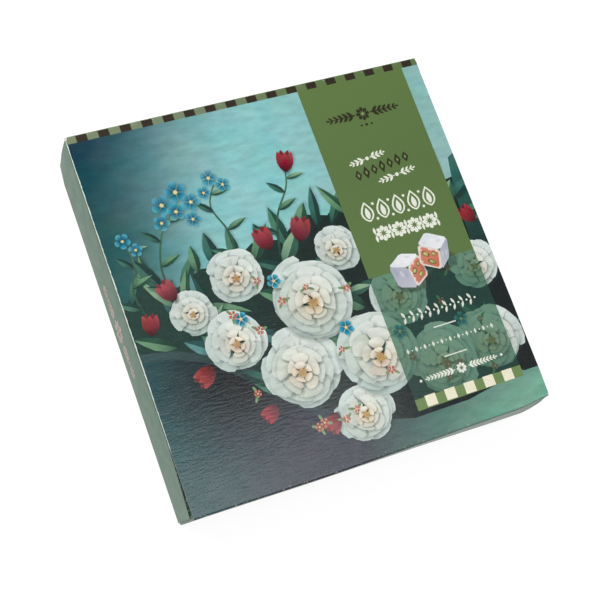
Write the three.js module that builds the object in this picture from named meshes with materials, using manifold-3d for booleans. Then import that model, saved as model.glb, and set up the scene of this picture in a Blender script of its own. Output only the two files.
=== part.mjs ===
// A shut folding carton for sweets: a flat, square box of coated board.
//
// The top, front, bottom and back panels are one folded sleeve, glued along the back of the
// bottom. Each end is shut by a closure panel that hinges on the bottom, stands up against
// the dust flaps and tucks in under the top panel. The carton is full and can't be seen
// into, so it is one solid.
//
// Millimetres. X runs from the left end to the right end, Y from the front fold to the back
// fold, and +Z is up. The origin lies on the table, under the middle of the carton.

import * as THREE from 'three';
import { mergeVertices } from 'three/addons/utils/BufferGeometryUtils.js';
import Module from 'manifold-3d';

const wasm = await Module();
wasm.setup();

// Driving dimensions
const WIDTH = 200; // X, between the folds of the two end closures
const DEPTH = 200; // Y, between the front fold and the back fold
const HEIGHT = 35; // Z, from the table to the folds of the top panel
const BOARD = 0.5; // thickness of the board
const FOLD_RADIUS = 1; // outer radius of a creased fold

// How far each panel bows outwards in its middle, pushed by the sweets
const TOP_CROWN = 0.6;
const SIDE_CROWN = 0.4;
const END_CROWN = 0.3;

// The end closures
const LIP_SETBACK = 0.2; // the top panel's cut edge, behind the closure's outer face
const CLOSURE_CLEARANCE = 1.5; // closure panel to the front and back folds, at each side
const TUCK_REACH = 6; // how far the closure's tuck flap reaches in under the top panel
const SPRING_OUT = 1.2; // one upper corner of each closure has sprung outwards by this
const SPRING_DROP = 0.9; // and the same corner has sunk by this
const SPRUNG_STEPS = 2; // how many of the closure's lengthwise steps have sprung, from there

// The pressed corner, at the right end of the top panel's front fold
const PRESS_IN = 1.7;
const PRESS_DOWN = 0.6;
const PRESS_REACH = 18;

// Mesh fineness
const SLEEVE_STEPS = 20; // along the sleeve
const CLOSURE_STEPS = 10; // along a closure
const TOP_STEPS = 8; // across the top panel
const SIDE_STEPS = 3; // up a side
const FOLD_STEPS = 3; // round a fold

const MARGIN = 2; // how far a cutting block stands clear of the carton

const sleeveLength = WIDTH - 2 * LIP_SETBACK;
const closureHalf = DEPTH / 2 - CLOSURE_CLEARANCE;
const tuckHeight = HEIGHT - BOARD;

// A panel is flat beyond these distances from its middle, so that its folds stay straight
const bowHalfX = sleeveLength / 2 - sleeveLength / SLEEVE_STEPS;
const bowHalfY = DEPTH / 2 - FOLD_RADIUS;
const bowHalfZ = HEIGHT / 2 - FOLD_RADIUS;

// 1 in the middle of a panel, falling to 0 at the given distance from it
function bow(place, half) {
  const across = Math.min(Math.abs(place) / half, 1);
  return 1 - across * across;
}

// 1 at a corner, easing to 0 at the given distance from it
function nearness(distance, reach) {
  return THREE.MathUtils.smoothstep(1 - distance / reach, 0, 1);
}

// How far the closure has sprung at a place along its fold: 1 at its front corner
const sprungLength = (2 * closureHalf * SPRUNG_STEPS) / CLOSURE_STEPS;
function spring(y) {
  return THREE.MathUtils.clamp(1 - (y + closureHalf) / sprungLength, 0, 1);
}

// Adds a straight stretch of an outline, cut into equal steps
function addLine(outline, endX, endY, steps) {
  const start = outline.currentPoint.clone();
  const end = new THREE.Vector2(endX, endY);
  for (let step = 1; step <= steps; step++) {
    const point = start.clone().lerp(end, step / steps);
    outline.lineTo(point.x, point.y);
  }
}

// Moves every vertex of a geometry by a function that changes the point it is given
function reshape(geometry, move) {
  const position = geometry.attributes.position;
  const point = new THREE.Vector3();
  for (let i = 0; i < position.count; i++) {
    point.fromBufferAttribute(position, i);
    move(point);
    position.setXYZ(i, point.x, point.y, point.z);
  }
  return geometry;
}

// Turns a three.js geometry into a solid that can be cut and joined
function toSolid(geometry) {
  const bare = geometry.clone();
  bare.deleteAttribute('normal');
  bare.deleteAttribute('uv');
  const merged = mergeVertices(bare, 1e-5);
  return new wasm.Manifold(new wasm.Mesh({
    numProp: 3,
    vertProperties: new Float32Array(merged.attributes.position.array),
    triVerts: new Uint32Array(merged.index.array),
  }));
}

// Turns a solid back into a three.js geometry
function toGeometry(solid) {
  const mesh = solid.getMesh();
  const geometry = new THREE.BufferGeometry();
  geometry.setAttribute('position', new THREE.BufferAttribute(mesh.vertProperties, 3));
  geometry.setIndex(new THREE.BufferAttribute(mesh.triVerts, 1));
  return geometry;
}

// A cutting block between two corners
function block(low, high) {
  const size = high.clone().sub(low);
  const centre = low.clone().add(high).multiplyScalar(0.5);
  const geometry = new THREE.BoxGeometry(size.x, size.y, size.z);
  geometry.translate(centre.x, centre.y, centre.z);
  return toSolid(geometry);
}

// The sleeve's outline, seen along the carton: four panels with rounded folds between them
function sleeveOutline() {
  const flatY = DEPTH / 2 - FOLD_RADIUS;
  const flatZ = HEIGHT - FOLD_RADIUS;
  const quarter = Math.PI / 2;
  const outline = new THREE.Shape();
  outline.moveTo(-flatY, 0);
  addLine(outline, flatY, 0, 1);
  outline.absarc(flatY, FOLD_RADIUS, FOLD_RADIUS, -quarter, 0);
  addLine(outline, DEPTH / 2, flatZ, SIDE_STEPS);
  outline.absarc(flatY, flatZ, FOLD_RADIUS, 0, quarter);
  addLine(outline, -flatY, HEIGHT, TOP_STEPS);
  outline.absarc(-flatY, flatZ, FOLD_RADIUS, quarter, 2 * quarter);
  addLine(outline, -DEPTH / 2, FOLD_RADIUS, SIDE_STEPS);
  outline.absarc(-flatY, FOLD_RADIUS, FOLD_RADIUS, 2 * quarter, 3 * quarter);
  return outline;
}

// Turns what was drawn in X and Y and extruded along Z so that it runs along the carton
function layAlong(geometry) {
  return geometry.applyMatrix4(new THREE.Matrix4().makeBasis(
    new THREE.Vector3(0, 1, 0),
    new THREE.Vector3(0, 0, 1),
    new THREE.Vector3(1, 0, 0),
  ));
}

// The full sleeve, with its panels bowed outwards
function makeSleeve() {
  const geometry = new THREE.ExtrudeGeometry(sleeveOutline(), {
    depth: sleeveLength,
    steps: SLEEVE_STEPS,
    curveSegments: FOLD_STEPS,
    bevelEnabled: false,
  });
  geometry.translate(0, 0, -sleeveLength / 2);
  return toSolid(reshape(layAlong(geometry), (point) => {
    const along = bow(point.x, bowHalfX);
    const side = along * bow(point.z - HEIGHT / 2, bowHalfZ);
    const top = point.z > HEIGHT / 2 ? along * bow(point.y, bowHalfY) : 0;
    point.y += Math.sign(point.y) * SIDE_CROWN * side;
    point.z += TOP_CROWN * top;
  }));
}

// What is cut from the sleeve at its left end: the room for the closure, the steps back to
// the dust flaps at both its sides, and the slit that opens where the closure has sprung
function makeEndCut() {
  const outside = -WIDTH / 2 - MARGIN;
  const dustFlap = -WIDTH / 2 + BOARD;
  const foldStart = -WIDTH / 2 + FOLD_RADIUS;
  const farY = DEPTH / 2 + MARGIN;
  const behindClosure = block(
    new THREE.Vector3(outside, -closureHalf, -MARGIN),
    new THREE.Vector3(foldStart, closureHalf, tuckHeight),
  );
  const frontStep = block(
    new THREE.Vector3(outside, -farY, -MARGIN),
    new THREE.Vector3(dustFlap, -closureHalf, HEIGHT + MARGIN),
  );
  const backStep = block(
    new THREE.Vector3(outside, closureHalf, -MARGIN),
    new THREE.Vector3(dustFlap, farY, HEIGHT + MARGIN),
  );

  const slitOutline = new THREE.Shape();
  slitOutline.moveTo(-closureHalf, tuckHeight);
  slitOutline.lineTo(-closureHalf, tuckHeight - SPRING_DROP - BOARD / 2);
  slitOutline.lineTo(-closureHalf + sprungLength, tuckHeight - BOARD / 2);
  slitOutline.lineTo(-closureHalf + sprungLength, tuckHeight);
  const slit = new THREE.ExtrudeGeometry(slitOutline, {
    depth: MARGIN + TUCK_REACH / 2,
    bevelEnabled: false,
  });
  layAlong(slit).translate(outside, 0, 0);
  return behindClosure.add(frontStep).add(backStep).add(toSolid(slit));
}

// The left end's closure: up from its fold with the bottom panel, round its upper fold and
// in under the top panel as the tuck flap. Its front corner has sprung out and sunk a little
function makeClosure() {
  const face = -WIDTH / 2;
  const foldStart = face + FOLD_RADIUS;
  const quarter = Math.PI / 2;
  const outline = new THREE.Shape();
  outline.moveTo(face + TUCK_REACH, 0);
  outline.lineTo(face + TUCK_REACH, tuckHeight);
  outline.lineTo(foldStart, tuckHeight);
  outline.absarc(foldStart, tuckHeight - FOLD_RADIUS, FOLD_RADIUS, quarter, 2 * quarter);
  addLine(outline, face, FOLD_RADIUS, SIDE_STEPS);
  outline.absarc(foldStart, FOLD_RADIUS, FOLD_RADIUS, 2 * quarter, 3 * quarter);
  const geometry = new THREE.ExtrudeGeometry(outline, {
    depth: 2 * closureHalf,
    steps: CLOSURE_STEPS,
    curveSegments: FOLD_STEPS,
    bevelEnabled: false,
  });
  geometry.translate(0, 0, -closureHalf);
  geometry.rotateX(quarter);
  return toSolid(reshape(geometry, (point) => {
    const height = Math.max(0, (point.z - FOLD_RADIUS) / (tuckHeight - FOLD_RADIUS));
    const sprung = spring(point.y) * height;
    const isFace = point.x === face;
    const bowed = isFace ? bow(point.y, closureHalf) * bow(point.z - HEIGHT / 2, bowHalfZ) : 0;
    point.x -= SPRING_OUT * sprung + END_CROWN * bowed;
    point.z -= SPRING_DROP * sprung;
  }));
}

// The rebate along the back of the bottom: the bottom panel is glued over a flap there, and
// its cut edge stops where the back fold begins
function makeSeamCut() {
  return block(
    new THREE.Vector3(-WIDTH / 2 - MARGIN, DEPTH / 2 - FOLD_RADIUS, -MARGIN),
    new THREE.Vector3(WIDTH / 2 + MARGIN, DEPTH / 2 + MARGIN, BOARD),
  );
}

// Presses in the corner at the right end of the top panel's front fold
function pressCorner(point) {
  const pressed = nearness(WIDTH / 2 - point.x, PRESS_REACH)
    * nearness(DEPTH / 2 + point.y, PRESS_REACH)
    * nearness(HEIGHT - point.z, PRESS_REACH);
  point.y += PRESS_IN * pressed;
  point.z -= PRESS_DOWN * pressed;
}

// The carton. The right end is the left end turned half way round, so there it is the back
// corner of the closure that has sprung
function makeCarton() {
  const halfTurn = [0, 0, 180];
  const endCut = makeEndCut();
  const closure = makeClosure();
  const solid = makeSleeve()
    .subtract(endCut)
    .subtract(endCut.rotate(halfTurn))
    .subtract(makeSeamCut())
    .add(closure)
    .add(closure.rotate(halfTurn));
  const geometry = reshape(toGeometry(solid), pressCorner);
  geometry.computeVertexNormals();
  const printedBoard = new THREE.MeshStandardMaterial({
    color: 0x5f7844,
    roughness: 0.35,
    metalness: 0,
  });
  const carton = new THREE.Mesh(geometry, printedBoard);
  carton.name = 'carton';
  return carton;
}

const turkishDelightCarton = new THREE.Group();
turkishDelightCarton.add(makeCarton());

export default turkishDelightCarton;
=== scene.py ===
# %% [markdown]
# # A shut carton of Turkish delight
#
# The object is a flat, square sweets carton: one sheet of coated board that was printed,
# varnished, die-cut, creased, folded and glued. This script makes it the same way. It draws
# the printed blank flat, as fields of ink, and then folds it round the carton that was
# already modelled as a solid. Every piece is in metres, in the solid's own frame.

# %% Load the solid carton as the frame
import math
import random

import bpy
from mathutils import Matrix, Vector
from mathutils.geometry import delaunay_2d_cdt


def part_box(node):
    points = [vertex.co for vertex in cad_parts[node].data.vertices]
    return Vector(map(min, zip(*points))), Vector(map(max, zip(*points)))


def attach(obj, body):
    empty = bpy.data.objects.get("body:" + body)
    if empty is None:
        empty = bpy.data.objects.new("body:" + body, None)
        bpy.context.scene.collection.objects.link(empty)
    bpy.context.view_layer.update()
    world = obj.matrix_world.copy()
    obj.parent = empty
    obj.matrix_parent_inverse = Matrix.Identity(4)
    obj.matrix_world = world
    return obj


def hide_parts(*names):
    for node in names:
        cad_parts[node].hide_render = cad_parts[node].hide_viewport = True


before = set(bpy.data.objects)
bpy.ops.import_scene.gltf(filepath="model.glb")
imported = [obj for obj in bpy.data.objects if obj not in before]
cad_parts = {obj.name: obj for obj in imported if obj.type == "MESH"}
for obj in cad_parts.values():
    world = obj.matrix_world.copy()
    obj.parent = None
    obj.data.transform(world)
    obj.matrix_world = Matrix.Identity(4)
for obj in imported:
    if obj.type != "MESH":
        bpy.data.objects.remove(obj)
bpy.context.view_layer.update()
low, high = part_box("carton")
print("solid carton, mm:", [round(1000 * (b - a), 1) for a, b in zip(low, high)])

# %% [markdown]
# The driving dimensions are the solid's own, in millimetres, because a carton maker's die
# drawing is in millimetres too. Only the last step, the folding, turns them into metres.

# %% Dimensions of the carton
MM = 0.001
WIDTH = 200.0  # X, between the folds of the two end closures
DEPTH = 200.0  # Y, between the front fold and the back fold
HEIGHT = 35.0  # Z, from the table to the folds of the top panel
BOARD = 0.5  # thickness of the board
FOLD = 1.0  # outer radius of a creased fold
TOP_CROWN, SIDE_CROWN, END_CROWN = 0.6, 0.4, 0.3  # how far the full panels bow outwards
LIP = WIDTH / 2 - 0.2  # the top panel's cut edge, just behind the closure's face
CLOSURE_HALF = DEPTH / 2 - 1.5  # half the length of a closure panel
TUCK_HEIGHT = HEIGHT - BOARD  # the closure's upper fold lies under the top panel
print("height of the frame over its crown:", round(high.z / MM - HEIGHT - TOP_CROWN, 3))

# %% [markdown]
# ## Camera
#
# The camera stands to the left of the carton and looks down steeply at its top panel, with a
# long lens, so that the panel is nearly free of perspective. It is rolled, which sets the
# square panel on its corner. A camera's matrix can be written straight from three
# directions: its right, its up, and the opposite of where it looks.

# %% Camera
CAMERA_PLACE = Vector((-0.24217, -0.14600, 0.65787))
CAMERA_VIEW = Vector((0.33987, 0.19633, -0.91975)).normalized()
CAMERA_UP = Vector((0.26036, 0.92010, 0.29262))
SENSOR, LENS = 36, 80.58  # mm


def new_object(name, data):
    """A new object, put into the scene."""
    made = bpy.data.objects.new(name, data)
    bpy.context.scene.collection.objects.link(made)
    return made


camera_right = CAMERA_VIEW.cross(CAMERA_UP).normalized()
camera_up = camera_right.cross(CAMERA_VIEW)
camera = new_object("camera", bpy.data.cameras.new("camera"))
turn = Matrix((camera_right, camera_up, -CAMERA_VIEW)).transposed()
camera.matrix_world = Matrix.Translation(CAMERA_PLACE) @ turn.to_4x4()
camera.data.sensor_width = SENSOR
camera.data.lens = LENS
bpy.context.scene.camera = camera
bpy.context.scene.view_settings.view_transform = "Standard"
print("the camera stands", round(CAMERA_PLACE.length, 3), "m from the carton")

# %% [markdown]
# ## Colour and materials
#
# Hex colours are easy to read and to compare, but a shader works with linear light, so one
# function turns them over. One more small function adds a node and wires it.

# %% Helpers for colours and nodes
def clamp(value):
    """The value, kept between 0 and 1."""
    return min(max(value, 0.0), 1.0)


def rgb(code):
    """The three values of a hex code, from 0 to 1."""
    return tuple(int(code[i:i + 2], 16) / 255 for i in (1, 3, 5))


def linear(code):
    """The linear colour of an sRGB hex code."""
    return tuple(v / 12.92 if v <= 0.04045 else ((v + 0.055) / 1.055) ** 2.4
                 for v in rgb(code))


def blend(first, second, share):
    """Mixes two colours; share is how much of the second."""
    share = clamp(share)
    return tuple(a + (b - a) * share for a, b in zip(first, second))


def node(tree, kind, settings=None, **links):
    """Adds a node. Settings are its properties. Links give its inputs, by name or as _0, _1
    and so on, a value, a socket, or a node, of which the first output is taken."""
    new = tree.nodes.new(kind)
    for name, value in (settings or {}).items():
        setattr(new, name, value)
    for name, value in links.items():
        socket = new.inputs[int(name[1:]) if name[1:].isdigit() else name.replace("_", " ")]
        if isinstance(value, bpy.types.Node):
            value = value.outputs[0]
        if isinstance(value, bpy.types.NodeSocket):
            tree.links.new(value, socket)
        else:
            socket.default_value = value
    return new


def new_material(name):
    """A material, its node tree and its Principled shader."""
    material = bpy.data.materials.new(name)
    material.use_nodes = True
    tree = material.node_tree
    return material, tree, tree.nodes["Principled BSDF"]


print("half bright on a screen is", round(linear("#808080")[0], 3), "in linear light")


# %% [markdown]
# ## The blank
#
# Before it is folded, a carton is a flat blank. Here a place on the blank is (x, s): x runs
# along the folds of the sleeve, from left to right, and s runs across them, from the glue
# flap over the back, top and front panels to the cut edge of the bottom. Folding is a walk:
# each stretch goes straight on for its length, and each crease turns a quarter to the left.
# A walk like this keeps every length true, so the print isn't stretched anywhere but in the
# slight bow of the panels.

# %% The walk round the sleeve
GLUE_FLAP = 14.0
QUARTER = FOLD * math.pi / 2  # the length of board in one fold
WALK = [
    ("glue_flap", GLUE_FLAP), ("glue_fold", None),
    ("back", HEIGHT - 2 * FOLD - BOARD), ("back_fold", None),
    ("top", DEPTH - 2 * FOLD), ("front_fold", None),
    ("front", HEIGHT - 2 * FOLD), ("bottom_fold", None),
    ("bottom", DEPTH - 2 * FOLD),
]
stretches = []
place, heading, s = Vector((DEPTH / 2 - FOLD - GLUE_FLAP, BOARD)), 0.0, 0.0
starts = {}
for name, length in WALK:
    starts[name] = s
    stretches.append((s, place.copy(), heading, length))
    ahead = Vector((math.cos(heading), math.sin(heading)))
    inward = Vector((-ahead.y, ahead.x))
    if length is None:
        place += FOLD * (ahead + inward)
        heading += math.pi / 2
        s += QUARTER
    else:
        place += length * ahead
        s += length
BLANK_END = s
print("blank runs to", round(BLANK_END, 2), "mm; walk ends at", [round(v, 2) for v in place])


def walk_sleeve(s):
    """The (y, z) place and the outward direction of the outer face at s."""
    begun = [stretch for stretch in stretches if stretch[0] <= s + 1e-9] or stretches[:1]
    start, place, heading, length = begun[-1]
    ahead = Vector((math.cos(heading), math.sin(heading)))
    inward = Vector((-ahead.y, ahead.x))
    if length is None:
        angle = (s - start) / FOLD
        outward = math.sin(angle) * ahead - math.cos(angle) * inward
        return place + FOLD * inward + FOLD * outward, outward
    return place + (s - start) * ahead, -inward


# %% [markdown]
# Each end is shut by flaps that fold inwards: dust flaps on the back and front panels, and
# the closure panel on the bottom, with its tuck flap that goes in under the top panel.
# Along x the same kind of walk says how far out and how far in a place on a flap lies.

# %% The walk round the ends
DUST_FLAP, TUCK_FLAP = 13.0, 12.0
DUST_ROOT = WIDTH / 2 - BOARD - FOLD  # where a dust flap's fold starts, behind the closure
CLOSURE_ROOT = WIDTH / 2 - FOLD
CLOSURE_FLAT = TUCK_HEIGHT - 2 * FOLD  # the closure between its two folds
END_WALKS = {
    "back": [DUST_ROOT, None, DUST_FLAP],
    "front": [DUST_ROOT, None, DUST_FLAP],
    "bottom": [CLOSURE_ROOT, None, CLOSURE_FLAT, None, TUCK_FLAP],
}


def walk_end(panel, reach):
    """How far out, how far in, and the turn of the outer face at a reach from the middle."""
    out, sunk, angle = 0.0, 0.0, 0.0
    for length in END_WALKS.get(panel, []):
        if length is None:
            turned = min(reach / FOLD, math.pi / 2)
            out += FOLD * (math.sin(angle + turned) - math.sin(angle))
            sunk += FOLD * (math.cos(angle) - math.cos(angle + turned))
            angle += turned
            reach -= QUARTER
        else:
            out += min(reach, length) * math.cos(angle)
            sunk += min(reach, length) * math.sin(angle)
            reach -= length
        if reach <= 0:
            return out, sunk, angle
    return out + reach * math.cos(angle), sunk + reach * math.sin(angle), angle


print("a closure's tip lies", round(walk_end("bottom", WIDTH / 2 + 50)[0], 2), "mm out")


# %% [markdown]
# The full carton isn't quite flat: the sweets push every panel out a little, one corner of
# each closure has sprung, and the front right corner of the top has been pressed in. These
# moves repeat the solid's own formulas, so that the folded sheet lies on the solid. Two more
# are the sheet's own and no more than 2 mm: towards the left the front panel leans, with its
# foot in and its fold out, and the foot of the back left corner has been knocked.

# %% Bows and corners
def bow(place, half):
    """1 in the middle of a panel, falling to 0 at a distance of half from it."""
    across = min(abs(place) / half, 1.0)
    return 1 - across * across


def nearness(distance, reach):
    """1 at a corner, easing to 0 at the given distance from it."""
    share = clamp(1 - distance / reach)
    return share * share * (3 - 2 * share)


def panel_of(s):
    """The name of the stretch of the walk that s lies in; on a border, that of the fold."""
    found = "glue_flap"
    for name, length in WALK:
        slack = 1e-4 if length else -1e-4
        if s > starts[name] + slack:
            found = name
    return found


print("a bow is", bow(50, 100), "and a corner's pull", nearness(50, 100), "half way out")

# %% Fold a place on the blank
BOW_X = LIP - 2 * LIP / 20  # the bow ends a little before the top panel's cut lip
SPRING_OUT, SPRING_DROP, SPRUNG_LENGTH = 1.2, 0.9, 39.4  # the closure's sprung corner
SPRING_EASE = 1.4  # above 1, the spring gathers towards the corner
PRESS_IN, PRESS_DOWN, PRESS_REACH = 1.7, 0.6, 18.0  # the pressed front right corner
LEAN_IN, LEAN_OUT = 1.7, 1.5  # the front panel leans: its foot goes in and its fold out
LEAN_END, LEAN_LENGTH = 85.0, 110.0  # the lean is gone at this x, and full so far before it
CORNER_HOLD, HOLD_REACH = 0.5, 80.0  # the front left corner holds the fold back
KNOCK_IN, KNOCK_REACH = 1.1, 14.0  # the knocked foot of the back left corner
KNOCK_RISE = 1.6 * KNOCK_REACH


def fold(x, s, deep=0.0):
    """Where a place on the blank comes to lie on the folded carton, in metres."""
    panel = panel_of(s)
    (y, z), outward = walk_sleeve(s)
    out, sunk, angle = walk_end(panel, abs(x))
    side = math.copysign(1.0, x)
    normal = Vector((side * math.sin(angle), *(math.cos(angle) * outward)))
    point = Vector((side * out, y, z)) - sunk * Vector((0, *outward)) - deep * normal
    if panel == "bottom" and abs(x) > CLOSURE_ROOT:
        height = max(0.0, (point.z - FOLD) / (TUCK_HEIGHT - FOLD))
        sprung = (clamp(1 + (side * point.y - CLOSURE_HALF) / SPRUNG_LENGTH) ** SPRING_EASE
                  * min(height, 1.0))
        crown = bow(y, CLOSURE_HALF) * bow(point.z - HEIGHT / 2, HEIGHT / 2 - FOLD)
        point.x += side * (SPRING_OUT * sprung + END_CROWN * crown * (angle < 2))
        point.z -= SPRING_DROP * sprung
    elif angle == 0:
        along = bow(x, BOW_X)
        if panel == "top":
            point.z += TOP_CROWN * along * bow(y, DEPTH / 2 - FOLD)
        elif panel in ("back", "front"):
            lift = SIDE_CROWN * along * bow(z - HEIGHT / 2, HEIGHT / 2 - FOLD)
            point.y += math.copysign(lift, y)
    pressed = (nearness(WIDTH / 2 - point.x, PRESS_REACH)
               * nearness(DEPTH / 2 + point.y, PRESS_REACH)
               * nearness(HEIGHT - point.z, PRESS_REACH))
    point.y += PRESS_IN * pressed
    point.z -= PRESS_DOWN * pressed
    level = clamp(point.z / HEIGHT)
    lean = clamp((LEAN_END - point.x) / LEAN_LENGTH) * clamp(-2 * point.y / DEPTH)
    held = 1 - CORNER_HOLD * nearness(WIDTH / 2 + point.x, HOLD_REACH)
    point.y += lean * (LEAN_IN * (1 - level) - LEAN_OUT * held * level)
    point.x += KNOCK_IN * (nearness(WIDTH / 2 + point.x, KNOCK_REACH)
                           * nearness(DEPTH / 2 - point.y, KNOCK_REACH)
                           * nearness(point.z, KNOCK_RISE))
    return point * MM


print("middle of the top panel, mm:",
      [round(v / MM, 1) for v in fold(0, starts["top"] + DEPTH / 2 - FOLD)])


# %% [markdown]
# The die cuts the blank's outline: the top panel ends in a plain lip, slits part it from the
# dust flaps, and the closures reach out from the bottom.

# %% The blank's outline
SLIT = 0.3  # how far a flap's cut sides keep from its neighbours
SIDE_PANELS = (("back", "back_fold"), ("front", "bottom_fold"))  # each with what follows it
DUST_TIP = DUST_ROOT + QUARTER + DUST_FLAP
TUCK_ROOT = CLOSURE_ROOT + QUARTER + CLOSURE_FLAT + QUARTER
BOTTOM_MIDDLE = starts["bottom"] + DEPTH / 2 - FOLD


def flap_end(root, tip, begin, end, cut, taper, corner):
    """A flap between two cut sides, which taper a little and end in cut-off corners."""
    return [(root, begin), (tip - cut, begin + taper), (tip, begin + corner),
            (tip, end - corner), (tip - cut, end - taper), (root, end)]


def right_side_of_blank():
    """The right half of the outline, from the glue flap's edge to the bottom's cut edge."""
    points = [(WIDTH / 2 - 10, 0.0), (WIDTH / 2 - 4, starts["glue_fold"]),
              (DUST_ROOT, starts["glue_fold"])]
    for panel, after in SIDE_PANELS:
        points += flap_end(DUST_ROOT, DUST_TIP, starts[panel] + SLIT, starts[after] - SLIT,
                           2, 0.5, 3)
        if panel == "back":
            points += [(DUST_ROOT, starts["back_fold"]), (LIP, starts["back_fold"]),
                       (LIP, starts["front"]), (DUST_ROOT, starts["front"])]
    begin, end = BOTTOM_MIDDLE - CLOSURE_HALF, BOTTOM_MIDDLE + CLOSURE_HALF
    points += [(DUST_ROOT, starts["bottom_fold"]), (CLOSURE_ROOT, begin)]
    points += flap_end(TUCK_ROOT, TUCK_ROOT + TUCK_FLAP, begin, end, 4, 1, 5)
    return points + [(CLOSURE_ROOT, end), (CLOSURE_ROOT, BLANK_END)]


right = right_side_of_blank()
blank_outline = right + [(-x, s) for x, s in reversed(right)]
print("blank outline has", len(blank_outline), "corners")

# %% [markdown]
# ## Ink
#
# A printed design could be one picture wrapped round the carton. Here every field of colour
# is a shape cut into the sheet itself, so its edges stay sharp at any distance. Each field
# has an outline on the blank and a paint, a small function that gives the colour at a place
# from what is already there. Later fields lie on earlier ones, as inks do.

# %% Fields of ink
fields = []


def ink(outline, paint, art=0.0, bare=0.0):
    """Adds a field of ink. art marks brushwork, bare marks board without ink."""
    area = sum(x0 * s1 - x1 * s0
               for (x0, s0), (x1, s1) in zip(outline, outline[1:] + outline[:1]))
    if area < 0:  # the triangulation fills an outline only if it runs anticlockwise
        outline = outline[::-1]
    fields.append({"outline": outline, "paint": paint, "art": art, "bare": bare})


def plain(code, cover=1.0):
    """Paint of one colour, which lets what is below show where its cover is less than 1."""
    colour = linear(code)
    return lambda x, s, below: colour if cover >= 1 else blend(below, colour, cover)


def shaded(start, end, codes, cover=1.0):
    """Paint that runs evenly through several colours from one place to another."""
    colours = [linear(code) for code in codes]
    dx, ds = end[0] - start[0], end[1] - start[1]
    length = dx * dx + ds * ds

    def paint(x, s, below):
        share = min(clamp(((x - start[0]) * dx + (s - start[1]) * ds) / length), 0.9999)
        step = share * (len(colours) - 1)
        colour = blend(colours[int(step)], colours[int(step) + 1], step % 1)
        return colour if cover >= 1 else blend(below, colour, cover)
    return paint


def on_top(a, b):
    """A place on the top panel, a from its left end and b from its back fold, on the blank."""
    return a - WIDTH / 2, starts["top"] + b - FOLD


def top_field(points, *more, **also):
    """A field of ink on the top panel."""
    ink([on_top(a, b) for a, b in points], *more, **also)


def box_points(a0, b0, a1, b1):
    return [(a0, b0), (a1, b0), (a1, b1), (a0, b1)]


print("back left corner of the top panel on the blank:", [round(v, 2) for v in on_top(0, 0)])


# %% [markdown]
# The whole blank is first inked deep green, and the top panel then gets its picture.

# %% Ground colours
GREEN, CREAM = "#2e5d42", "#fbf7e0"
BAND = 4.3  # depth of the checked band
BANNER_LEFT, BANNER_RIGHT, BANNER_END, OVERLAY_END = 127.1, 190.0, 112.6, 178.6

ink(blank_outline, plain(GREEN))
print("ground inked")

# %% [markdown]
# ## Cutting and folding the sheet
#
# On the press the sheet is printed first, and then a die cuts and creases it. Here one
# triangulation does both: it cuts the flat blank along the outline of every field, so each
# triangle knows the inks on it. A grid of dots lets the panels bow, and lines across each
# fold let it bend. Every corner then goes through fold(), and an inner face with the same
# border gives the board its thickness. Cutting a finished box up would be harder, because
# only the flat blank is simple enough to draw on.

# %% Dots and lines that let the sheet bow and bend
DOT_STEP = 5.0  # mm between the dots on the top panel
BENDS = 4  # steps that a fold is bent in


def grid_dots():
    """Places all over the blank that let the sheet bow and its colours run smoothly."""
    found = []
    for i in range(int((DEPTH - 2 * FOLD) / DOT_STEP)):
        shift = 0.25 * DOT_STEP * (-1) ** i
        found += [(x * DOT_STEP + shift, starts["top"] + DOT_STEP * (i + 0.5))
                  for x in range(-19, 20)]
    for i in range(8):  # closer together where the corner has been pressed in
        for k in range(8):
            found.append((LIP - 1.2 - 2.3 * i, starts["front_fold"] - 1.1 - 2.3 * k))
    for panel, _ in SIDE_PANELS:
        for k in range(1, 6):
            found += [(x * 6.0 + 1, starts[panel] + 5.5 * k) for x in range(-16, 17)]
    for i in range(1, 20):
        s = starts["bottom"] + 10 * i
        found += [(x * 10.0 + 0.5 * (-1) ** i, s - 1) for x in range(-9, 10)]
        for k in range(1, 7):
            found += [(side * (WIDTH / 2 + 5 * k), s - 1.3) for side in (-1, 1)]
    return found


def crease_lines():
    """Short lines across the blank where it bends, so that a triangle never spans a bend."""
    lines = []

    def add(begin, end, pieces=18):
        stops = [tuple(b + (e - b) * i / pieces for b, e in zip(begin, end))
                 for i in range(pieces + 1)]
        lines.extend(zip(stops, stops[1:]))

    steps = [QUARTER * i / BENDS for i in range(BENDS + 1)]
    for name, length in WALK:
        if length is None:
            for step in steps:
                add((-LIP - 5, starts[name] + step), (LIP + 5, starts[name] + step))
    for panel, end in (*((panel, starts[after]) for panel, after in SIDE_PANELS),
                       ("bottom", BLANK_END)):
        reach = 0.0
        for length in END_WALKS[panel]:
            if length is None:
                for x in (side * (reach + step) for side in (-1, 1) for step in steps):
                    add((x, starts[panel]), (x, end), 18 if panel == "bottom" else 3)
            reach += length or QUARTER
    return lines


print("the blank bends along", len(crease_lines()), "short lines")

# %% Split long sides
LONGEST_SIDE = 7.0  # mm


def split_sides(outline):
    """Adds corners to the long sides of an outline, so that they bow with the panel."""
    corners = []
    for (x0, s0), (x1, s1) in zip(outline, outline[1:] + outline[:1]):
        pieces = math.ceil(math.hypot(x1 - x0, s1 - s0) / LONGEST_SIDE)
        corners += [(x0 + (x1 - x0) * i / pieces, s0 + (s1 - s0) * i / pieces)
                    for i in range(pieces)]
    return corners


print("the blank's outline gets", len(split_sides(blank_outline)), "corners")

# %% Cut the blank
MERGE = 0.004  # mm; corners closer together than this become one


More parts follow.
